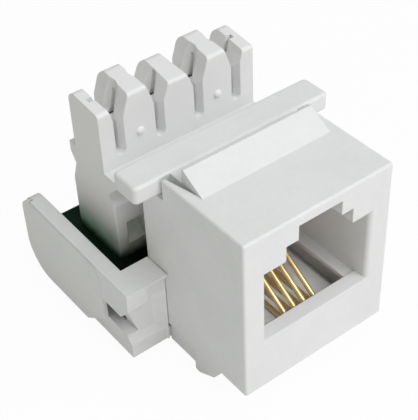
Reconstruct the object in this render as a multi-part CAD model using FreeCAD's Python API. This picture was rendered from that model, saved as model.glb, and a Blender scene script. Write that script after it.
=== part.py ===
# Keystone jack: a snap-in panel jack for four-wire telephone leads. A moulded housing holds the plug
# socket and the panel latch. A contact carrier slides in from behind and holds four sprung wires. The
# wires are soldered to a small board, which carries a punch-down block with one slotted blade for each
# wire. A tray with two side wings closes the board from below and clips to the housing.
#
# Millimetres. X runs across the jack with its mirror plane at 0, Y runs from the front face (0) to the
# back, and Z runs up from the underside of the front block (0). The last section moves everything so
# that the origin is below the middle of the whole jack, at its lowest point.

import FreeCAD, Part
import math
import os

V = FreeCAD.Vector

# Front block
block_width = 14.6
block_depth = 12.5
block_height = 16.05
block_edge_radius = 0.22

# Plug socket in the front block
socket_width = 10.4
socket_height = 7.05
socket_mouth_radius = 0.4
sill_top = 5.25
sill_depth = 1.25
notch_width = 6.6
notch_height = 1.45
key_width = 4.25
notch_depth = 2.6
latch_pocket_width = 7.2
latch_pocket_end = 1.5

# Floor ledges beside the contact window, and the channel for the carrier below them
window_width = 8.25
ledge_drop = 0.2
ledge_thickness = 0.35
channel_width = 10.0
channel_floor = 0.9

# Spring tongue on top: a wedge that snaps behind the panel and a bar that stops it
tongue_width = 12.6
tongue_thickness = 0.95
tongue_flex_gap = 0.8
tongue_root = 4.6
tongue_slit = 0.7
tongue_slit_start = 6.4
wedge_toe = 5.9
wedge_length = 2.4
wedge_height = 1.3
wedge_crest_flat = 0.15
panel_groove = 1.5
bar_side_inset = 0.25
bar_depth = 2.9
bar_height = 1.65
bar_proud = 0.15
bar_corner_radius = 0.45
bar_edge_radius = 0.3
bar_gap = 0.2
bar_relief = 0.05
bar_relief_margin = 0.1
bar_travel = 0.5

# Fixed hook below the block, and the rib behind it
hook_toe = 3.2
hook_knee = 4.1
hook_knee_drop = 1.3
hook_tip = 6.1
hook_drop = 2.4
hook_heel = 6.65
hook_tip_radius = 0.25
rib_inset = 0.2
rib_drop = 1.9

# Clip lugs on the sides of the block, which hold the tray
lug_height = 1.6
lug_depth = 1.0
lug_stand_out = 0.45
lug_bottom = 2.0
lug_from_back = 0.8
lug_nose = 0.6

# General fits
slide_clearance = 0.05
seam = 0.12
overlap = 0.3
near = 0.01

# Contact carrier
carrier_base_height = 1.3
carrier_floor_top = 3.1
carrier_wall_depth = 2.7
carrier_wall_inset = 0.6
carrier_edge_radius = 0.3
comb_slot_width = 0.62
comb_slot_depth = 1.3
comb_top_margin = 1.4
comb_foot = 2.2
comb_foot_lap = 0.3
comb_slot_rise = 0.6

# Contact wires
wire_count = 4
wire_pitch = 1.02
wire_diameter = 0.46
wire_sink = 0.1
wire_bend_radius = 0.45
wire_bend_from_sill = 1.2
wire_rise_angle = 38.6
wire_knee_run = 5.4
wire_tail_angle = 12.0
wire_tail_entry = 0.75
wire_clearance = 0.02
wire_corner_radius = 0.5
wire_slope_setback = 1.3
wire_lift = 0.45
wire_sides = 8
pin_row_gap = 0.95
pin_edge = 0.4
pin_tail = 1.0

# Circuit board
board_side_gap = 0.1
board_front_gap = 0.2
board_back_gap = 0.75
board_thickness = 1.6
board_top = 3.5
board_corner_radius = 0.5
board_hole_diameter = 0.9
blade_slot_clearance = 0.1

# Punch-down block: its side outline, as distances from its middle and heights above the board
punch_width = 15.58
punch_setback = 6.6
punch_foot_half = 3.12
punch_foot_height = 5.75
punch_waist_half = 2.4
punch_waist_height = 6.7
punch_lip_half = 4.0
punch_lip_bottom = 8.3
punch_lip_top = 8.7
punch_back_foot_height = 5.0
punch_back_waist_half = 2.35
punch_back_waist_height = 7.2
punch_bump_half = 3.0
punch_bump_bottom = 8.2
punch_bump_top = 9.2
punch_tooth_half = 2.1
punch_shoulder = 10.4
punch_edge_radius = 0.15

# Teeth and wire slots
tooth_pitch = 3.95
slot_floor = 9.77
slot_width = 0.5
slot_mouth_width = 0.95
slot_mouth_depth = 0.75
lead_in_low_radius = 0.8
lead_in_high_radius = 1.35
tooth_taper_start = 12.6
tooth_top_width = 1.45
end_tooth_step = 0.65
tall_tooth_height = 15.6
mid_tooth_height = 14.95
end_tooth_height = 14.8
tooth_front_fall = 0.45
tooth_back_radius = 0.9
tooth_front_radius = 0.35
nub_diameter = 0.84
nub_stand_out = 0.28
nub_height = 11.2

# Openings low in the front of the punch-down block
port_width = 1.75
port_height = 2.35
port_depth = 1.2
port_bottom = 1.3

# Punch-down blades
blade_thickness = 0.4
blade_width = 2.6
blade_slot_width = 0.28
blade_slot_depth = 3.4
blade_throat = 0.9
blade_top = 12.4
blade_foot = 1.4
blade_pin_width = 0.8
blade_clearance = 0.04
blade_headroom = 2.2

# Solder cones under the board
solder_diameter = 1.3
solder_height = 0.75
blade_solder_tip = 1.0

# Tray
tray_width = 22.0
tray_grip = 2.15
tray_reach = 13.5
tray_bottom = -1.65
tray_floor_thickness = 1.2
tray_wall = 1.0
tray_top = 6.2
tray_rise = 0.25
tray_flange_top = 0.35
tray_flange_nose = -0.25
lip_grip = 2.7
lip_height = 1.85
lip_stand_out = 0.35
lip_skin = 0.3
lip_recess_width = 2.0
lip_recess_depth = 0.5
skirt_drop = 3.2
skirt_slope = 1.2
corner_wall_inset = 1.6
corner_post_grip = 2.3
corner_post_width = 1.05
tray_back_wall = 0.7
tray_end_radius = 1.4
tray_back_radius = 3.2
tray_inner_chamfer = 2.0
plate_proud = 0.07
plate_setback = 1.2
plate_top_drop = 0.12
plate_front_radius = 1.6
plate_nose = 0.6
plate_nose_back = 3.0
side_port_top_width = 0.3
side_port_bottom_width = 1.05
side_port_bottom = 0.6
side_port_lap = 1.8
support_width = 0.9
support_length = 2.2
support_count = 3

# Worked out from the sizes above
socket_top = sill_top + socket_height
tongue_underside = block_height - tongue_thickness
ledge_top = sill_top - ledge_drop
ledge_bottom = ledge_top - ledge_thickness
wedge_crest = wedge_toe + wedge_length
bar_front = wedge_crest + panel_groove
bar_top = block_height + bar_proud
bar_bottom = bar_top - bar_height
notch_top = socket_top + notch_height
board_bottom = board_top - board_thickness
board_front = block_depth + board_front_gap
tray_front = block_depth - tray_grip
tray_back = block_depth + tray_reach
lip_front = block_depth - lip_grip
corner_wall_front = block_depth - corner_wall_inset
plate_front = block_depth + plate_setback
board_back = tray_back - tray_back_wall - board_back_gap
board_width = tray_width - 2 * (tray_wall + board_side_gap)
punch_centre = board_front + punch_setback
carrier_wall_front = block_depth - carrier_wall_inset
carrier_wall_back = carrier_wall_front + carrier_wall_depth
wire_radius = wire_diameter / 2
lead_height = carrier_floor_top + wire_radius - wire_sink
board_lead_height = board_top + wire_radius + wire_lift
lead_slope_end = carrier_wall_front - wire_slope_setback
pin_rows = (carrier_wall_back - pin_edge - pin_row_gap, carrier_wall_back - pin_edge)
pin_bottom = board_bottom - pin_tail
slots = [(index - 1.5) * tooth_pitch for index in range(4)]
inner_teeth = [(index - 1) * tooth_pitch for index in range(3)]
tray_inner = tray_width / 2 - tray_wall
tray_lip_side = tray_width / 2 + lip_stand_out
lip_bottom = tray_top - lip_height
skirt_bottom = tray_top - skirt_drop
tray_floor_top = tray_bottom + tray_floor_thickness
block_side = block_width / 2 + slide_clearance


def box(x0, x1, y0, y1, z0, z1):
    return Part.makeBox(x1 - x0, y1 - y0, z1 - z0, V(x0, y0, z0))


def centred_box(width, y0, y1, z0, z1):
    return box(-width / 2, width / 2, y0, y1, z0, z1)


def prism_along_x(outline, x0, x1):
    """A solid with an outline of (y, z) points, from x0 to x1."""
    wire = Part.makePolygon([V(x0, y, z) for y, z in outline + outline[:1]])
    return Part.Face(wire).extrude(V(x1 - x0, 0, 0))


def prism_along_y(outline, y0, y1):
    """A solid with an outline of (x, z) points, from y0 to y1."""
    wire = Part.makePolygon([V(x, y0, z) for x, z in outline + outline[:1]])
    return Part.Face(wire).extrude(V(0, y1 - y0, 0))


def prism_along_z(outline, z0, z1):
    """A solid with an outline of (x, y) points, from z0 to z1."""
    wire = Part.makePolygon([V(x, y, z0) for x, y in outline + outline[:1]])
    return Part.Face(wire).extrude(V(0, 0, z1 - z0))


def both_sides(shape):
    return [shape, shape.mirror(V(0, 0, 0), V(1, 0, 0))]


def rounded(shape, radius, wanted):
    """Fillet the edges whose bounding boxes pass the test."""
    return shape.makeFillet(radius, [edge for edge in shape.Edges if wanted(edge.BoundBox)])


def joined(first, *others):
    """One solid from overlapping ones."""
    for other in others:
        first = first.fuse(other)
    return first.removeSplitter()


# Front housing: one white moulding with the socket, the spring tongue, the hook and the clip lugs

def socket_outline():
    """The opening as it is seen from the front: a plug-wide rectangle with a stepped latch notch."""
    half, notch, key = socket_width / 2, notch_width / 2, key_width / 2
    right = [(half, sill_top), (half, socket_top), (notch, socket_top), (notch, notch_top),
             (key, notch_top), (key, tongue_underside)]
    return right + [(-x, z) for x, z in reversed(right)]


def socket_cuts():
    mouth = prism_along_y(socket_outline(), -1, notch_depth)
    plug_space = centred_box(socket_width, 0, block_depth + 1, sill_top, socket_top)
    latch_pocket = centred_box(latch_pocket_width, notch_depth, block_depth - latch_pocket_end,
                               socket_top - 0.5, tongue_underside)
    window = centred_box(window_width, sill_depth, block_depth + 1, ledge_bottom - 0.1, sill_top + 0.1)
    above_ledges = centred_box(socket_width, sill_depth, block_depth + 1, ledge_top, sill_top + 0.1)
    ledge_ends = centred_box(socket_width, carrier_wall_front - seam, block_depth + 1,
                             board_top - slide_clearance, sill_top + 0.1)
    channel = centred_box(channel_width, sill_depth, block_depth + 1, channel_floor, ledge_bottom)
    return [mouth, plug_space, latch_pocket, window, above_ledges, ledge_ends, channel]


def tongue_cuts():
    """The gap below the tongue, the slits that open beside it, and the room for the bar to move down."""
    half = tongue_width / 2
    slit_low = tongue_underside - tongue_flex_gap
    slit_back = bar_front - bar_gap
    gap = centred_box(tongue_width, tongue_root, block_depth + 1, slit_low, tongue_underside)
    slits = both_sides(prism_along_z([(half, tongue_slit_start), (half + tongue_slit, slit_back),
                                      (half, slit_back)], slit_low, block_height + 1))
    rims = both_sides(box(half, block_width, slit_back, block_depth + 1,
                          bar_bottom - bar_travel, block_height + 1))
    under_bar = centred_box(block_width + 2, slit_back, block_depth + 1,
                            bar_bottom - bar_travel, bar_bottom)
    return [gap, under_bar] + slits + rims


def latch_wedge():
    root = block_height - tongue_thickness / 2
    top = block_height + wedge_height
    outline = [(wedge_toe, root), (wedge_toe, block_height), (wedge_crest - wedge_crest_flat, top),
               (wedge_crest, top), (wedge_crest, root)]
    return prism_along_x(outline, -tongue_width / 2, tongue_width / 2)


def stop_bar():
    """The bar across the end of the tongue. Only its overhanging ends stand on the panel."""
    width = board_width - 2 * bar_side_inset
    relief = centred_box(block_width + 2 * bar_relief_margin, bar_front - 1, bar_front + bar_relief,
                         bar_bottom - 1, bar_top + 1)
    bar = centred_box(width, bar_front, bar_front + bar_depth, bar_bottom, bar_top)
    bar = rounded(bar, bar_corner_radius, lambda b: b.ZLength > bar_height / 2)
    return rounded(bar, bar_edge_radius, lambda b: b.ZLength < near).cut(relief)


def hook_and_rib():
    half = block_width / 2
    hook = prism_along_x([(hook_toe, overlap), (hook_toe, 0), (hook_knee, -hook_knee_drop),
                          (hook_tip, -hook_drop), (hook_heel, -hook_drop), (hook_heel, overlap)],
                         -half, half)
    hook = rounded(hook, hook_tip_radius, lambda b: b.XLength > half and b.ZMax < overlap - hook_drop)
    rib = centred_box(block_width - 2 * rib_inset, hook_heel - overlap, tray_front - slide_clearance,
                      -rib_drop, overlap)
    return [hook, rib]


def clip_lug(grow=0):
    """A wedge on the side of the block: flat at the top, sloping below, so the tray snaps over it."""
    side = block_width / 2
    out = side + lug_stand_out + grow
    low, high = lug_bottom - grow, lug_bottom + lug_height + grow
    middle = block_depth - lug_from_back
    return prism_along_y([(side - 0.2, low), (side, low), (out, high - lug_nose), (out, high),
                          (side - 0.2, high)], middle - lug_depth / 2 - grow, middle + lug_depth / 2 + grow)


def front_housing():
    block = centred_box(block_width, 0, block_depth, 0, block_height)
    block = rounded(block, block_edge_radius, lambda b: b.YMin < near)
    block = block.cut(socket_cuts() + tongue_cuts())
    inside = socket_width / 2 + near
    block = rounded(block, socket_mouth_radius, lambda b: b.YMax < near and b.ZLength > socket_height - 0.1
                    and b.XMax < inside and b.XMin > -inside)
    return joined(block, latch_wedge(), stop_bar(), *hook_and_rib(), *both_sides(clip_lug()))


# Contact wires: each one comes up through the board, runs forward on the carrier, turns back round a
# hairpin at the sill and rises across the socket into its comb slot

def wire_path(index):
    """Straight runs in the Y-Z plane, each rounded into the next."""
    rise = math.radians(wire_rise_angle)
    tail = math.radians(wire_tail_angle)
    hairpin_y = sill_depth + wire_bend_from_sill
    hairpin_z = lead_height + wire_bend_radius
    leg_y = hairpin_y - wire_bend_radius * math.sin(rise)
    leg_z = hairpin_z + wire_bend_radius * math.cos(rise)
    knee_y = leg_y + wire_knee_run
    knee_z = leg_z + wire_knee_run * math.tan(rise)
    end_y = carrier_wall_front + wire_tail_entry
    end_z = knee_z + (end_y - knee_y) * math.tan(tail)
    pin_y = pin_rows[index % 2]
    x = (index - (wire_count - 1) / 2) * wire_pitch
    before = [V(x, pin_y, pin_bottom), V(x, pin_y, board_lead_height),
              V(x, lead_slope_end, lead_height), V(x, hairpin_y, lead_height)]
    after = [V(x, leg_y, leg_z), V(x, knee_y, knee_z), V(x, end_y, end_z)]
    crown = V(x, hairpin_y - wire_bend_radius * math.cos(rise / 2 - math.pi / 4),
              hairpin_z - wire_bend_radius * math.sin(math.pi / 4 - rise / 2))
    return before, crown, after


def rounded_run(points, radius):
    """Edges of a run of straight pieces with tangent arcs at its inner points."""
    edges = []
    start = points[0]
    for point, following in zip(points[1:-1], points[2:]):
        back = (start - point).normalize()
        ahead = (following - point).normalize()
        half_turn = (math.pi - back.getAngle(ahead)) / 2
        reach = radius * math.tan(half_turn)
        middle = (back + ahead).normalize()
        to_arc = radius / math.cos(half_turn) - radius
        arc_start = point + back * reach
        arc_end = point + ahead * reach
        edges.append(Part.LineSegment(start, arc_start).toShape())
        edges.append(Part.Arc(arc_start, point + middle * to_arc, arc_end).toShape())
        start = arc_end
    edges.append(Part.LineSegment(start, points[-1]).toShape())
    return edges


def contact_wire(index):
    before, crown, after = wire_path(index)
    edges = rounded_run(before, wire_corner_radius)
    edges.append(Part.Arc(before[-1], crown, after[0]).toShape())
    edges += rounded_run(after, wire_corner_radius)
    corners = [before[0] + V(wire_radius * math.cos(turn), wire_radius * math.sin(turn), 0)
               for turn in (2 * math.pi * step / wire_sides for step in range(wire_sides + 1))]
    return Part.Wire(edges).makePipe(Part.Face(Part.makePolygon(corners)))


def wire_channel(index):
    """The room in the carrier for one lead, from its pins at the back to the hairpin."""
    x = (index - (wire_count - 1) / 2) * wire_pitch
    pin_y = pin_rows[index % 2]
    room = wire_radius + wire_clearance
    slope = (board_lead_height - lead_height) / (pin_y - lead_slope_end)
    turn_room = wire_corner_radius + room
    low, high = board_lead_height - room - slope * turn_room, board_lead_height + room
    outline = [(0, lead_height - room), (lead_slope_end, lead_height - room),
               (pin_y - turn_room, low), (pin_y - room, board_lead_height - turn_room),
               (pin_y - room, board_top - 1), (pin_y + room, board_top - 1), (pin_y + room, high),
               (pin_y, high), (lead_slope_end, lead_height + room), (0, lead_height + room)]
    return prism_along_x(outline, x - room, x + room)


# Contact carrier: a white insert with a base that slides in the channel, a floor with four grooves and
# a rear wall with a comb for the free ends of the wires

def contact_carrier():
    front = sill_depth + seam
    base_bottom = channel_floor + slide_clearance
    base_top = base_bottom + carrier_base_height
    back_of_base = board_front - 2 * slide_clearance
    base = centred_box(channel_width - 2 * slide_clearance, front, back_of_base, base_bottom, base_top)
    floor = centred_box(window_width, front, back_of_base, base_bottom, carrier_floor_top)
    foot = prism_along_x([(carrier_wall_front - comb_foot, carrier_floor_top),
                          (carrier_wall_front, carrier_floor_top + comb_foot / 2),
                          (carrier_wall_front + comb_foot_lap, carrier_floor_top)],
                         -window_width / 2, window_width / 2)
    wall = centred_box(socket_width - 2 * slide_clearance, carrier_wall_front, carrier_wall_back,
                       board_top, socket_top - slide_clearance)
    below_wall = centred_box(window_width, carrier_wall_front, back_of_base, carrier_floor_top - 0.1,
                             board_top + 0.1)
    wall = rounded(wall, carrier_edge_radius, lambda b: b.YMin > carrier_wall_back - near
                   and b.ZMin > board_top + near)
    carrier = joined(base, floor, foot, wall, below_wall)
    for index in range(wire_count):
        x = (index - (wire_count - 1) / 2) * wire_pitch
        slot = box(x - comb_slot_width / 2, x + comb_slot_width / 2, carrier_wall_front - comb_foot - 0.1,
                   carrier_wall_front + comb_slot_depth, lead_height + wire_radius + comb_slot_rise,
                   socket_top - comb_top_margin)
        carrier = carrier.cut([slot, wire_channel(index)])
    return carrier


# Circuit board with round plated holes for the wires and routed slots for the blade pins

def circuit_board():
    board = centred_box(board_width, board_front, board_back, board_bottom, board_top)
    board = rounded(board, board_corner_radius, lambda b: b.ZLength > board_thickness / 2)
    holes = []
    for index in range(wire_count):
        x = (index - (wire_count - 1) / 2) * wire_pitch
        holes.append(Part.makeCylinder(board_hole_diameter / 2, board_thickness + 2,
                                       V(x, pin_rows[index % 2], board_bottom - 1)))
    half_width = blade_pin_width / 2 + blade_slot_clearance
    half_depth = blade_thickness / 2 + blade_slot_clearance
    for x in slots:
        holes.append(box(x - half_width, x + half_width, punch_centre - half_depth,
                         punch_centre + half_depth, board_bottom - 1, board_top + 1))
    return board.cut(holes)


# Punch-down block: a foot with a waist and a bulge, and five teeth with a wire slot between each pair

def punch_side_outline():
    front = [(punch_foot_half, 0), (punch_foot_half, punch_foot_height),
             (punch_waist_half, punch_waist_height), (punch_lip_half, punch_lip_bottom),
             (punch_lip_half, punch_lip_top), (punch_tooth_half, punch_lip_top),
             (punch_tooth_half, punch_shoulder)]
    back = [(punch_foot_half, 0), (punch_foot_half, punch_back_foot_height),
            (punch_back_waist_half, punch_back_waist_height), (punch_bump_half, punch_bump_bottom),
            (punch_bump_half, punch_bump_top), (punch_tooth_half, punch_bump_top),
            (punch_tooth_half, punch_shoulder)]
    outline = [(punch_centre - half, board_top + height) for half, height in front]
    return outline + [(punch_centre + half, board_top + height) for half, height in reversed(back)]


def tooth(centre, bottom_left, bottom_right, top_left, top_right, height):
    """One tooth: upright sides that taper in above the wire slots, and a top that falls to the front."""
    low = board_top + slot_floor - 0.5
    start = board_top + tooth_taper_start
    top = board_top + height
    front, back = punch_centre - punch_tooth_half, punch_centre + punch_tooth_half
    outline = [(centre + bottom_left, low), (centre + bottom_left, start), (centre + top_left, top),
               (centre + top_right, top), (centre + bottom_right, start), (centre + bottom_right, low)]
    solid = prism_along_y(outline, front, back)
    crest = prism_along_x([(front, low), (front, top - tooth_front_fall), (back, top), (back, low)],
                          centre - tooth_pitch, centre + tooth_pitch)
    crest = rounded(crest, tooth_back_radius, lambda b: b.XLength > 1 and b.ZMin > top - near)
    crest = rounded(crest, tooth_front_radius, lambda b: b.XLength > 1 and b.YMax < front + near
                    and b.ZMin > top - tooth_front_fall - near)
    return solid.common(crest)


def wire_slot_cut(x):
    """The slot for one wire: narrow in the middle, wider at the front and back, with a round floor."""
    front, back = punch_centre - punch_tooth_half, punch_centre + punch_tooth_half
    narrow, wide = slot_width / 2, slot_mouth_width / 2
    start, end = punch_centre - punch_lip_half, punch_centre + punch_lip_half
    half = [(x + wide, start), (x + wide, front), (x + narrow, front + slot_mouth_depth),
            (x + narrow, back - slot_mouth_depth), (x + wide, back), (x + wide, end)]
    outline = half + [(2 * x - px, py) for px, py in reversed(half)]
    low, high = board_top + slot_floor, board_top + tall_tooth_height + 1
    upper = box(x - wide, x + wide, start, end, low + wide, high)
    floor = Part.makeCylinder(wide, end - start, V(x, start, low + wide), V(0, 1, 0))
    return prism_along_z(outline, low, high).common(upper.fuse(floor))


def lead_in(x):
    """A cone that guides a wire into its slot. It is cut in the three inner teeth only."""
    depth = tall_tooth_height - tooth_taper_start
    cone = Part.makeCone(lead_in_low_radius, lead_in_high_radius, depth,
                         V(x, punch_centre, board_top + tooth_taper_start))
    between = centred_box(slots[-1] - slots[0], punch_centre - punch_foot_half,
                          punch_centre + punch_foot_half, board_top, board_top + tall_tooth_height)
    return cone.common(between)


def blade_pocket(x):
    grown = blade_thickness / 2 + blade_clearance
    width = blade_width + 2 * blade_clearance
    return box(x - width / 2, x + width / 2, punch_centre - grown, punch_centre + grown,
               board_top - 1, board_top + blade_top + blade_headroom)


def nub(x, side):
    """A low dome on the front (-1) or back (1) of a tooth."""
    radius = (nub_stand_out + nub_diameter ** 2 / (4 * nub_stand_out)) / 2
    face = punch_centre + side * punch_tooth_half
    return Part.makeSphere(radius, V(x, face - side * (radius - nub_stand_out), board_top + nub_height))


def idc_block():
    half = punch_width / 2
    block = prism_along_x(punch_side_outline(), -half, half)
    block = rounded(block, punch_edge_radius, lambda b: b.XLength < near and b.ZLength > 1
                    and b.ZMin < board_top + near)
    gap = tooth_pitch - slot_width
    top = tooth_top_width / 2
    end_centre = slots[-1] + slot_width / 2
    end_width = half - end_centre
    end_tooth = tooth(end_centre, 0, end_width, end_tooth_step, end_width, end_tooth_height)
    heights = [tall_tooth_height, mid_tooth_height, tall_tooth_height]
    teeth = [tooth(x, -gap / 2, gap / 2, -top, top, height) for x, height in zip(inner_teeth, heights)]
    nubs = [nub(x, side) for x in (inner_teeth[0], inner_teeth[2]) for side in (-1, 1)]
    block = joined(block, *teeth, *both_sides(end_tooth), *nubs)
    port_low = board_top + port_bottom
    front = punch_centre - punch_foot_half
    port_back, port_high = front + port_depth, port_low + port_height
    port_outline = [(front - 1, port_low), (front, port_low), (port_back, port_low + port_height / 2),
                    (port_back, port_high), (front - 1, port_high)]
    for x in slots:
        port = prism_along_x(port_outline, x - port_width / 2, x + port_width / 2)
        block = block.cut([wire_slot_cut(x), lead_in(x), blade_pocket(x), port])
    return block


# Punch-down blades: flat forks whose two tines grip the wire, with one pin through the board

def idc_blade(x):
    half, slot, throat = blade_width / 2, blade_slot_width / 2, blade_throat / 2
    bottom = board_top + blade_clearance
    top = board_top + blade_top
    root = top - blade_slot_depth
    outline = [(x + blade_pin_width / 2, pin_bottom), (x + blade_pin_width / 2, bottom),
               (x + half, bottom + blade_foot), (x + half, top), (x + throat, top),
               (x + slot, top - blade_throat), (x + slot, root)]
    outline += [(2 * x - px, z) for px, z in reversed(outline)]
    return prism_along_y(outline, punch_centre - blade_thickness / 2, punch_centre + blade_thickness / 2)


# Solder cones on the underside of the board

def solder_cone(x, y, tip_diameter, pin):
    cone = Part.makeCone(solder_diameter / 2, tip_diameter / 2, solder_height, V(x, y, board_bottom),
                         V(0, 0, -1))
    return cone.cut(pin)


# Tray: floor, two wings with outer plates, lips that close on the sides of the block, board supports

def tray_side_outline():
    """One wing from the side, from its front under the lip to its rounded top corner at the back."""
    return [(tray_front, tray_bottom), (tray_front, tray_flange_nose), (corner_wall_front, tray_flange_top),
            (corner_wall_front, lip_bottom), (lip_front, lip_bottom),
            (lip_front, tray_top), (board_front, tray_top), (tray_back, tray_top + tray_rise),
            (tray_back, tray_bottom)]


def back_rounded(shape):
    """The large radius where the floor turns up into the back."""
    return rounded(shape, tray_back_radius, lambda b: b.XLength > 0.1 and b.YMin > tray_back - near
                   and b.ZMax < tray_bottom + near)


def wing():
    outer = tray_width / 2
    wall = back_rounded(prism_along_x(tray_side_outline(), tray_inner, outer))
    wall = rounded(wall, tray_end_radius, lambda b: b.XLength > 0.1 and b.YMin > tray_back - near
                   and b.ZMin > tray_top - near)
    plate_top = tray_top - plate_top_drop
    plate = prism_along_x([(plate_front, plate_nose), (plate_front, plate_top),
                           (tray_back, plate_top + tray_rise), (tray_back, tray_bottom),
                           (plate_front + plate_nose_back, tray_bottom)],
                          outer - 0.1, tray_lip_side + plate_proud)
    plate = back_rounded(plate)
    plate = rounded(plate, plate_front_radius, lambda b: b.XLength > 0.1 and b.YMax < plate_front + near
                    and b.ZMin > plate_top - near)
    plate = rounded(plate, tray_end_radius, lambda b: b.XLength > 0.1 and b.YMin > tray_back - near
                    and b.ZMin > plate_top - near)
    rim = prism_along_x([(lip_front, lip_bottom), (lip_front, tray_top), (board_front, tray_top),
                         (tray_back - tray_end_radius, tray_top + tray_rise),
                         (plate_front + overlap, skirt_bottom), (lip_front + skirt_slope, skirt_bottom)],
                        outer - 0.1, tray_lip_side)
    return joined(wall, plate, rim)


def tray_corner():
    """The lip with its recess, the wall below it and the post against the side of the block."""
    back = block_depth + slide_clearance
    outer = tray_width / 2
    lip = box(block_side, tray_lip_side, lip_front, back, lip_bottom, tray_top)
    recess = box(block_side, block_side + lip_recess_width, lip_front - 1, lip_front + lip_recess_depth,
                 lip_bottom - 1, tray_top - lip_skin)
    wall = box(block_side, outer, corner_wall_front, back, tray_bottom, tray_top - lip_skin)
    flange = prism_along_x([(tray_front, tray_bottom), (tray_front, tray_flange_nose),
                            (corner_wall_front, tray_flange_top), (back, tray_flange_top),
                            (back, tray_bottom)], block_side, outer)
    post = prism_along_z([(block_side, block_depth - corner_post_grip),
                          (block_side + corner_post_width, corner_wall_front), (block_side, back)],
                         tray_bottom, tray_top - lip_skin)
    return joined(lip.cut(recess), wall, flange, post)


def side_port():
    """An opening round the outer corner: slanted in the front wall, and full depth behind the plate."""
    outer = tray_width / 2
    outline = [(outer - side_port_bottom_width, side_port_bottom), (outer, side_port_bottom),
               (outer, skirt_bottom), (outer - side_port_top_width, skirt_bottom)]
    front_part = prism_along_y(outline, corner_wall_front - 1, block_depth + overlap)
    back_part = box(tray_inner - 1, outer, block_depth + slide_clearance, plate_front + side_port_lap,
                    side_port_bottom, skirt_bottom)
    return front_part.fuse(back_part)


def rear_tray():
    inner_back = tray_back - tray_back_wall
    tub = prism_along_x([(tray_front, tray_bottom), (tray_back, tray_bottom), (tray_back, board_bottom),
                         (inner_back, board_bottom), (inner_back, tray_floor_top + tray_inner_chamfer),
                         (inner_back - tray_inner_chamfer, tray_floor_top), (tray_front, tray_floor_top)],
                        -tray_width / 2, tray_width / 2)
    pieces = both_sides(wing()) + both_sides(tray_corner())
    first = board_front + support_length
    last = board_back - 1.5 * support_length
    for step in range(support_count):
        y = first + (last - first) * step / (support_count - 1)
        pieces += both_sides(box(tray_inner - support_width, tray_inner + 0.1, y - support_length / 2,
                                 y + support_length / 2, tray_floor_top - 0.1, board_bottom))
    tray = joined(back_rounded(tub), *pieces)
    block_room = centred_box(2 * block_side, 0, block_depth + slide_clearance, -slide_clearance,
                             block_height)
    lug_room = both_sides(clip_lug(slide_clearance))
    return tray.cut([block_room] + lug_room + both_sides(side_port()))


# Build every piece, then place the jack over the origin and write one file for each

wires = [contact_wire(index) for index in range(wire_count)]
blades = [idc_blade(x) for x in slots]
pieces = {
    "front_housing": front_housing(),
    "contact_carrier": contact_carrier(),
    "circuit_board": circuit_board(),
    "idc_block": idc_block(),
    "rear_tray": rear_tray(),
}
for index, wire in enumerate(wires):
    pin_x = (index - (wire_count - 1) / 2) * wire_pitch
    pieces["contact_wire_%d" % (index + 1)] = wire
    pieces["contact_solder_%d" % (index + 1)] = solder_cone(pin_x, pin_rows[index % 2],
                                                            solder_diameter / 2, wire)
for index, blade in enumerate(blades):
    pieces["idc_blade_%d" % (index + 1)] = blade
    pieces["blade_solder_%d" % (index + 1)] = solder_cone(slots[index], punch_centre,
                                                          blade_solder_tip, blade)

lowest = min(-hook_drop, tray_bottom)
place = V(0, -tray_back / 2, -lowest)
os.makedirs("parts", exist_ok=True)
for node, shape in pieces.items():
    shape.translate(place)
    shape.exportStep("parts/%s.step" % node)
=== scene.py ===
# A keystone telephone jack, dressed piece by piece in the order in which it is put together: the board
# and its solder, the blades and the punch-down block, the tray, the carrier with its wires, and the
# front housing. Metres, with +Y from the socket face to the back and +Z up.

from math import cos, radians, sin, tan

import bpy
from mathutils import Matrix, Vector


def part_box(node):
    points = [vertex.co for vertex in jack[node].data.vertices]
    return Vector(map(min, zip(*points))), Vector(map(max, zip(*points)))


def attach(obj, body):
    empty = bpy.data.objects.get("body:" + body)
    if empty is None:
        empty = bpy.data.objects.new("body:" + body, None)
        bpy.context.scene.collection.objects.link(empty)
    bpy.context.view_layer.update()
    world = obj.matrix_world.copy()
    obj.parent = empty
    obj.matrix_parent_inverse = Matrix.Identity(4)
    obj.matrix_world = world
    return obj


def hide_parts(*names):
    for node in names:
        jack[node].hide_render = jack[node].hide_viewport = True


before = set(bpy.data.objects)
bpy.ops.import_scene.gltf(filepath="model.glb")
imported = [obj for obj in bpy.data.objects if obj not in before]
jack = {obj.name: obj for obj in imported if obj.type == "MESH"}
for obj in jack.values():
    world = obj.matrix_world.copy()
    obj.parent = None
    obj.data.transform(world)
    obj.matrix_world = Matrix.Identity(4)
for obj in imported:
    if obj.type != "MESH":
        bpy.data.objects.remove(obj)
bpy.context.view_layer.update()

MM = 0.001
bpy.ops.object.select_all(action="DESELECT")


# ---------------------------------------------------------------- circuit board
# Glass-fibre laminate under a dark green solder mask, routed from a panel. Plated holes take the wire
# tails, and short slots take the blade pins. The mask is painted black as painted shade near the block
# and towards the front, and shows its green towards the wing and the back.

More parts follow.
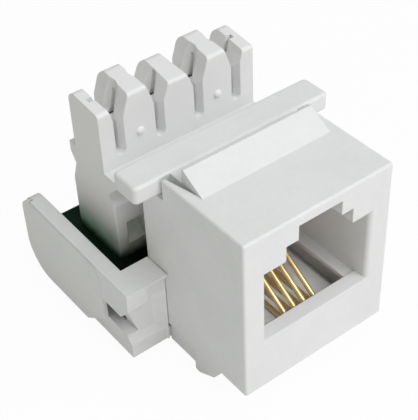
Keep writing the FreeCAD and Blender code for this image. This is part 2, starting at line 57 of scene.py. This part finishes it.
class Value:
    """A shader socket that can be used in Python expressions."""

    def __init__(self, shader, socket):
        self.shader = shader
        self.socket = socket

    def _math(self, operation, *inputs):
        return self.shader.node("ShaderNodeMath", {"operation": operation}, *inputs)

    def __add__(self, other):
        return self._math("ADD", self, other)

    def __radd__(self, other):
        return self._math("ADD", other, self)

    def __sub__(self, other):
        return self._math("SUBTRACT", self, other)

    def __rsub__(self, other):
        return self._math("SUBTRACT", other, self)

    def __mul__(self, other):
        return self._math("MULTIPLY", self, other)

    def __rmul__(self, other):
        return self._math("MULTIPLY", other, self)

    def ramp(self, start, end):
        """0 at start and 1 at end, with a soft step between. Start may be the larger."""
        return self.shader.node("ShaderNodeMapRange", {"interpolation_type": "SMOOTHSTEP"},
                                Value=self, **{"From Min": start, "From Max": end})

    def mix(self, low, high):
        """Colours: low where this value is 0 and high where it is 1."""
        return self.shader.node("ShaderNodeMix", {"data_type": "RGBA"}, out="Result_Color",
                                Factor_Float=self, A_Color=low, B_Color=high)


class Finish:
    """One material: a Principled surface whose sockets are set by name."""

    def __init__(self, name, **sockets):
        self.material = bpy.data.materials.new(name)
        self.material.use_nodes = True
        self.tree = self.material.node_tree
        self.surface = self.tree.nodes["Principled BSDF"]
        self.set(**sockets)

    def set(self, **sockets):
        for name, value in sockets.items():
            self._plug(self.surface.inputs[name.replace("_", " ")], value)

    def _plug(self, socket, value):
        if isinstance(value, Value):
            self.tree.links.new(value.socket, socket)
        elif hasattr(value, "__len__") and len(value) == 3 and len(socket.default_value) == 4:
            socket.default_value = (*value, 1)
        else:
            socket.default_value = value

    def node(self, kind, settings, *values, out=None, **sockets):
        """Any node: its settings first, then its sockets in order or by name or identifier."""
        made = self.tree.nodes.new(kind)
        for name, value in settings.items():
            setattr(made, name, value)
        for socket, value in zip(made.inputs, values):
            self._plug(socket, value)
        for name, value in sockets.items():
            found = [s for s in made.inputs if name in (s.identifier, s.name)]
            self._plug(found[0], value)
        given = [s for s in made.outputs if out in (s.identifier, s.name)] if out else made.outputs
        return Value(self, given[0])

    def place(self):
        return self.node("ShaderNodeTexCoord", {}, out="Object")

    def axis(self, name):
        return self.node("ShaderNodeSeparateXYZ", {}, self.place(), out=name)

    def noise(self, size, detail=2.0):
        """Soft noise between 0 and 1, with features of about the given size in metres."""
        return self.node("ShaderNodeTexNoise", {}, out="Fac", Vector=self.place(), Scale=1 / size,
                         Detail=detail)

    def bump(self, height, depth, strength, **sockets):
        return self.node("ShaderNodeBump", {}, out="Normal", Height=height, Distance=depth,
                         Strength=strength, **sockets)

    def soft_edges(self, radius):
        """A normal that rolls over each edge within the given radius."""
        return self.node("ShaderNodeBevel", {"samples": 8}, out="Normal", Radius=radius)


def dress(node, finish):
    """The CAD node keeps its shape and takes a finish."""
    part = jack[node]
    part.data.materials.clear()
    part.data.materials.append(finish.material)


# The black colour below is painted shade on the dark green mask.
MASK_PAINTED_SHADE = (0.0006, 0.0012, 0.0010)
MASK_GREEN = (0.0006, 0.022, 0.008)
WEAVE_SIZE = 0.35 * MM
WEAVE_DEPTH = 0.02 * MM
CLOUD_SIZE = 3 * MM
PAINTED_SHADE_FULL_X = -4 * MM
PAINTED_SHADE_FULL_Y = 0
PAINTED_SHADE_GONE_Y = 6 * MM

board_low, board_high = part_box("circuit_board")
mask = Finish("green solder mask with painted shade", Roughness=0.5, Specular_IOR_Level=0.12)
weave = mask.noise(WEAVE_SIZE, detail=1.0)
# Painted shade: the mask turns black towards the block and the front, and green towards the wing and the
# back, with random clouds of tone.
unshaded_toward_wing = mask.axis("X").ramp(PAINTED_SHADE_FULL_X, board_low[0])
unshaded_toward_back = mask.axis("Y").ramp(PAINTED_SHADE_FULL_Y, PAINTED_SHADE_GONE_Y)
cloud_and_painted_shade = (mask.noise(CLOUD_SIZE) * 0.6 + 0.5) * (unshaded_toward_wing * unshaded_toward_back)
mask.set(Base_Color=cloud_and_painted_shade.mix(MASK_PAINTED_SHADE, MASK_GREEN), Normal=mask.bump(weave, WEAVE_DEPTH, 0.3))
dress("circuit_board", mask)


# ---------------------------------------------------------------- solder joints
# A bright cone of solder round each tail below the board, wetted up the pin, with a dull skin where
# the flux ran.

FLUX_SIZE = 0.4 * MM
DULL_SOLDER = (0.55, 0.56, 0.57)
CLEAN_SOLDER = (0.72, 0.73, 0.74)
WIRE_NUMBERS = range(1, 5)

joint = Finish("bright solder", Metallic=1.0)
flux = joint.noise(FLUX_SIZE)
joint.set(Base_Color=flux.mix(DULL_SOLDER, CLEAN_SOLDER), Roughness=flux * 0.25 + 0.2)
for index in WIRE_NUMBERS:
    dress("contact_solder_%d" % index, joint)
    dress("blade_solder_%d" % index, joint)


# ---------------------------------------------------------------- blades
# Stamped phosphor-bronze forks, gone brown with age, pushed up from the board into the punch-down block.

TARNISH_SIZE = 0.3 * MM
DARK_BRONZE = (0.13, 0.085, 0.05)
BARE_BRONZE = (0.26, 0.19, 0.13)

bronze = Finish("tarnished bronze", Metallic=1.0)
tarnish = bronze.noise(TARNISH_SIZE)
bronze.set(Base_Color=tarnish.mix(DARK_BRONZE, BARE_BRONZE), Roughness=tarnish * 0.2 + 0.35)
for index in WIRE_NUMBERS:
    dress("idc_blade_%d" % index, bronze)


# ---------------------------------------------------------------- punch-down block
# One white moulding, pressed on to the board over the blades. Near the board its foot carries painted
# light: a brown painted shade in front and a green painted reflection of the board towards the back,
# both fading out a little way up, with a near-black painted shade at the very foot.

WHITE = (0.852, 0.852, 0.855)
EDGE_RADIUS = 0.10 * MM
GRAIN_SIZE = 0.14 * MM
GRAIN_DEPTH = 0.010 * MM
FLOW_SIZE = 4 * MM
STREAK_SIZE = 0.5 * MM

# The foot colours below are painted light: brown painted shade in front, green painted reflection of the
# board behind, near-black painted shade at the very foot.
PAINTED_REFLECTION_HEIGHT = 3.2 * MM
PAINTED_REFLECTION_FULL = 0.6 * MM
PAINTED_REFLECTION_PATCH = 1.6 * MM
PAINTED_SHADE_HEIGHT = 1.2 * MM
PAINTED_SHADE_PATCH = 0.9 * MM
SHADE_TO_REFLECTION_DEPTH = 3.5 * MM
BROWN_PAINTED_SHADE = (0.40, 0.37, 0.31)
GREEN_PAINTED_REFLECTION = (0.15, 0.43, 0.27)
FOOT_PAINTED_SHADE = (0.010, 0.024, 0.015)


def moulded(name, tone=WHITE):
    """White plastic from a sparked mould: a fine grain, a faint flow pattern and soft edges."""
    shade = (0.945 * tone[0], 0.950 * tone[1], 0.950 * tone[2])
    finish = Finish(name, Specular_IOR_Level=0.4)
    grain = finish.noise(GRAIN_SIZE, detail=3.0)
    flow = finish.noise(FLOW_SIZE) * 0.5 + finish.noise(STREAK_SIZE) * 0.3 + grain * 0.2
    finish.set(Base_Color=flow.ramp(0.3, 0.7).mix(shade, tone),
               Roughness=grain * 0.14 + 0.36,
               Normal=finish.bump(grain, GRAIN_DEPTH, 0.5, Normal=finish.soft_edges(EDGE_RADIUS)))
    return finish


block_low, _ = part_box("idc_block")
block_white = moulded("white moulded plastic, stained at the foot")
above_board = block_white.axis("Z") - board_high[2]
# Painted reflection and painted shade fade up from the board, and near-black painted shade lies at the
# very foot.
painted_light_mask = above_board.ramp(PAINTED_REFLECTION_HEIGHT, PAINTED_REFLECTION_FULL) * (block_white.noise(PAINTED_REFLECTION_PATCH) * 0.9 + 0.4)
painted_shade_mask = above_board.ramp(PAINTED_SHADE_HEIGHT, 0) * (block_white.noise(PAINTED_SHADE_PATCH) * 0.8 + 0.5)
back_from_front = block_white.axis("Y").ramp(block_low[1], block_low[1] + SHADE_TO_REFLECTION_DEPTH)
painted_light_tint = back_from_front.mix(BROWN_PAINTED_SHADE, GREEN_PAINTED_REFLECTION)
painted_light_colour = painted_light_mask.mix(WHITE, painted_light_tint)
block_white.set(Base_Color=painted_shade_mask.mix(painted_light_colour, FOOT_PAINTED_SHADE))
dress("idc_block", block_white)


# ---------------------------------------------------------------- rear tray
# A white moulded tray that closes the board from below. Its wings stand beside the board and its lips
# close on the sides of the front housing.

tray_white = moulded("white moulded plastic")
dress("rear_tray", tray_white)


# ---------------------------------------------------------------- contact carrier
# A white insert that slides into the housing from behind, with a groove for each wire and a comb that
# holds the free ends apart.

# The carrier's lighter white is painted light: it is the same plastic as the other mouldings, made
# brighter to stand in for the light that falls on its floor.
PAINTED_LIGHT_WHITE = (0.93, 0.93, 0.93)

carrier_painted_light = moulded("white moulded plastic, painted brighter as if lit", PAINTED_LIGHT_WHITE)
dress("contact_carrier", carrier_painted_light)


# ---------------------------------------------------------------- contact wires
# Round spring wire with a polished gold plate, bent on a jig: up through the board, forward along the
# carrier, round a hairpin at the sill and back up into the comb. The pins of wires 2 and 4 stand further
# back.

THICKNESS = 0.46 * MM
PITCH = 1.02 * MM
BEND = 0.50 * MM
HAIRPIN = 0.45 * MM
RISE = radians(32.5)
LEAD_HEIGHT = 5.63 * MM
HAIRPIN_Y = -10.55 * MM
SLOPE_Y = -2.40 * MM
SLOPE_RISE = 0.95 * MM
KNEE_RUN = 5.4 * MM
TAIL_RISE = radians(12)
FREE_END_Y = -0.35 * MM
ROUND_SIDES = 20
BEND_STEP = radians(9)
SMOOTH_BELOW = radians(40)
WELD = 0.001 * MM
MIDDLE_NUMBER = 2.5
WEAR_SIZE = 0.5 * MM
WORN_GOLD = (0.82, 0.58, 0.27)
BRIGHT_GOLD = (0.95, 0.76, 0.44)

gold = Finish("gold plate", Metallic=1.0)
wear = gold.noise(WEAR_SIZE)
gold.set(Base_Color=wear.mix(WORN_GOLD, BRIGHT_GOLD), Roughness=wear * 0.15 + 0.27)


def bent_wire(name, route, radii):
    """A round wire in the Y-Z plane: straight runs with one bend at each inner point of the route."""
    route = [Vector((0, *point)) for point in route]
    at = route[0]
    bpy.ops.mesh.primitive_circle_add(vertices=ROUND_SIDES, radius=THICKNESS / 2, fill_type="NGON",
                                      location=at)
    bpy.ops.object.mode_set(mode="EDIT")
    for corner, following, radius in zip(route[1:-1], route[2:], radii):
        heading = (corner - at).normalized()
        leaving = (following - corner).normalized()
        turn = heading.angle(leaving)
        reach = radius * tan(turn / 2)
        bpy.ops.mesh.extrude_region_move(TRANSFORM_OT_translate={"value": corner - heading * reach - at})
        centre = corner + (leaving - heading).normalized() * radius / cos(turn / 2)
        left = heading.cross(leaving).x > 0
        bpy.ops.mesh.spin(steps=max(4, round(turn / BEND_STEP)), angle=-turn if left else turn,
                          center=centre, axis=(1, 0, 0))
        at = corner + leaving * reach
    bpy.ops.mesh.extrude_region_move(TRANSFORM_OT_translate={"value": route[-1] - at})
    bpy.ops.mesh.select_all(action="SELECT")
    bpy.ops.mesh.remove_doubles(threshold=WELD)
    bpy.ops.mesh.normals_make_consistent(inside=False)
    bpy.ops.object.mode_set(mode="OBJECT")
    bpy.ops.object.transform_apply(location=True, rotation=True, scale=True)
    bpy.ops.object.shade_smooth_by_angle(angle=SMOOTH_BELOW)
    wire = bpy.context.object
    wire.name = name
    wire.data.materials.append(gold.material)
    return wire


hairpin_corner = (HAIRPIN_Y - HAIRPIN / tan(RISE / 2), LEAD_HEIGHT)
knee = (HAIRPIN_Y - HAIRPIN * sin(RISE) + KNEE_RUN,
        LEAD_HEIGHT + HAIRPIN + HAIRPIN * cos(RISE) + KNEE_RUN * tan(RISE))
free_end = (FREE_END_Y, knee[1] + (FREE_END_Y - knee[0]) * tan(TAIL_RISE))
for index in WIRE_NUMBERS:
    wire_low, wire_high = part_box("contact_wire_%d" % index)
    pin_y = wire_high[1] - THICKNESS / 2
    route = [(pin_y, wire_low[2]), (pin_y, LEAD_HEIGHT + SLOPE_RISE), (SLOPE_Y, LEAD_HEIGHT),
             hairpin_corner, knee, free_end]
    wire = bent_wire("gold_wire_%d" % index, route, (BEND, BEND, HAIRPIN, BEND))
    wire.location.x = (index - MIDDLE_NUMBER) * PITCH
    bpy.ops.object.transform_apply(location=True, rotation=False, scale=False)
    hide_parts("contact_wire_%d" % index)
    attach(wire, "root")


# ---------------------------------------------------------------- front housing
# The largest moulding: the plug socket with its stepped latch notch, the spring tongue with its wedge
# and stop bar, and the fixed hook below. It is made in the same white as the tray.

dress("front_housing", tray_white)


# ---------------------------------------------------------------- table and light
# A pale table under an even studio tent, with four soft lamps: a large one high in front of the socket,
# and weaker ones on its right, low on its left and overhead. The camera stands high on the left.

TABLE_SIZE = 2.0
GLOW_SHARE = 0.95
TENT_COLOUR = (0.98, 1.0, 0.90, 1)
TENT_STRENGTH = 0.345
COOL = (0.97, 0.97, 1.0)
WARM = (1.0, 0.96, 0.93)
BLUE = (0.90, 0.93, 1.0)
MIDDLE = Vector((0, 0, 10 * MM))
SENSOR_WIDTH = 36
FOCAL_LENGTH = 93.87
FARTHEST = 10
CAMERA_PLACE = (-0.041591, -0.056330, 0.069936)

paper = Finish("white paper", Roughness=0.9, Base_Color=(0.9, 0.9, 0.9))
bpy.ops.mesh.primitive_plane_add(size=TABLE_SIZE, location=(0, 0, 0))
table = bpy.context.object
table.name = "table"
table.data.materials.append(paper.material)
glow = paper.node("ShaderNodeEmission", {}, out="Emission", Color=(1, 1, 1), Strength=1.0)
seen = paper.node("ShaderNodeLightPath", {}, out="Is Camera Ray") * GLOW_SHARE
blend = paper.node("ShaderNodeMixShader", {}, seen, Value(paper, paper.surface.outputs[0]), glow)
paper.tree.links.new(blend.socket, paper.tree.nodes["Material Output"].inputs["Surface"])

world = bpy.data.worlds.new("studio tent")
bpy.context.scene.world = world
world.use_nodes = True
sky = world.node_tree
tent = sky.nodes["Background"]
tent.inputs["Color"].default_value = TENT_COLOUR
tent.inputs["Strength"].default_value = TENT_STRENGTH
shown = sky.nodes.new("ShaderNodeBackground")
shown.inputs["Color"].default_value = (1, 1, 1, 1)
path = sky.nodes.new("ShaderNodeLightPath")
either = sky.nodes.new("ShaderNodeMixShader")
sky.links.new(path.outputs["Is Camera Ray"], either.inputs[0])
sky.links.new(tent.outputs[0], either.inputs[1])
sky.links.new(shown.outputs[0], either.inputs[2])
sky.links.new(either.outputs[0], sky.nodes["World Output"].inputs["Surface"])


def soft_lamp(name, place, size, watts, colour):
    """A square studio lamp turned to the middle of the jack."""
    bpy.ops.object.light_add(type="AREA", location=place)
    lamp = bpy.context.object
    lamp.name = name
    lamp.data.size = size
    lamp.data.energy = watts
    lamp.data.color = colour
    lamp.rotation_mode = "QUATERNION"
    lamp.rotation_quaternion = (MIDDLE - lamp.location).to_track_quat("-Z", "Y")


soft_lamp("window", (0.051, -0.239, 0.291), 0.24, 0.50, COOL)
soft_lamp("side panel", (0.180, -0.233, 0.233), 0.16, 0.18, COOL)
soft_lamp("low front panel", (-0.140, -0.300, 0.160), 0.20, 0.09, WARM)
soft_lamp("overhead panel", (0.030, -0.050, 0.360), 0.24, 0.26, BLUE)

right = Vector((0.78936, -0.61291, -0.03538))
down = Vector((-0.42309, -0.50133, -0.75476))
ahead = Vector((0.44486, 0.61075, -0.65504))
bpy.ops.object.camera_add()
camera = bpy.context.object
camera.data.sensor_width = SENSOR_WIDTH
camera.data.lens = FOCAL_LENGTH
camera.data.clip_start = MM
camera.data.clip_end = FARTHEST
turn = Matrix((right, -down, -ahead)).transposed().to_4x4()
camera.matrix_world = Matrix.Translation(CAMERA_PLACE) @ turn
bpy.context.scene.camera = camera
bpy.context.scene.view_settings.view_transform = "Standard"
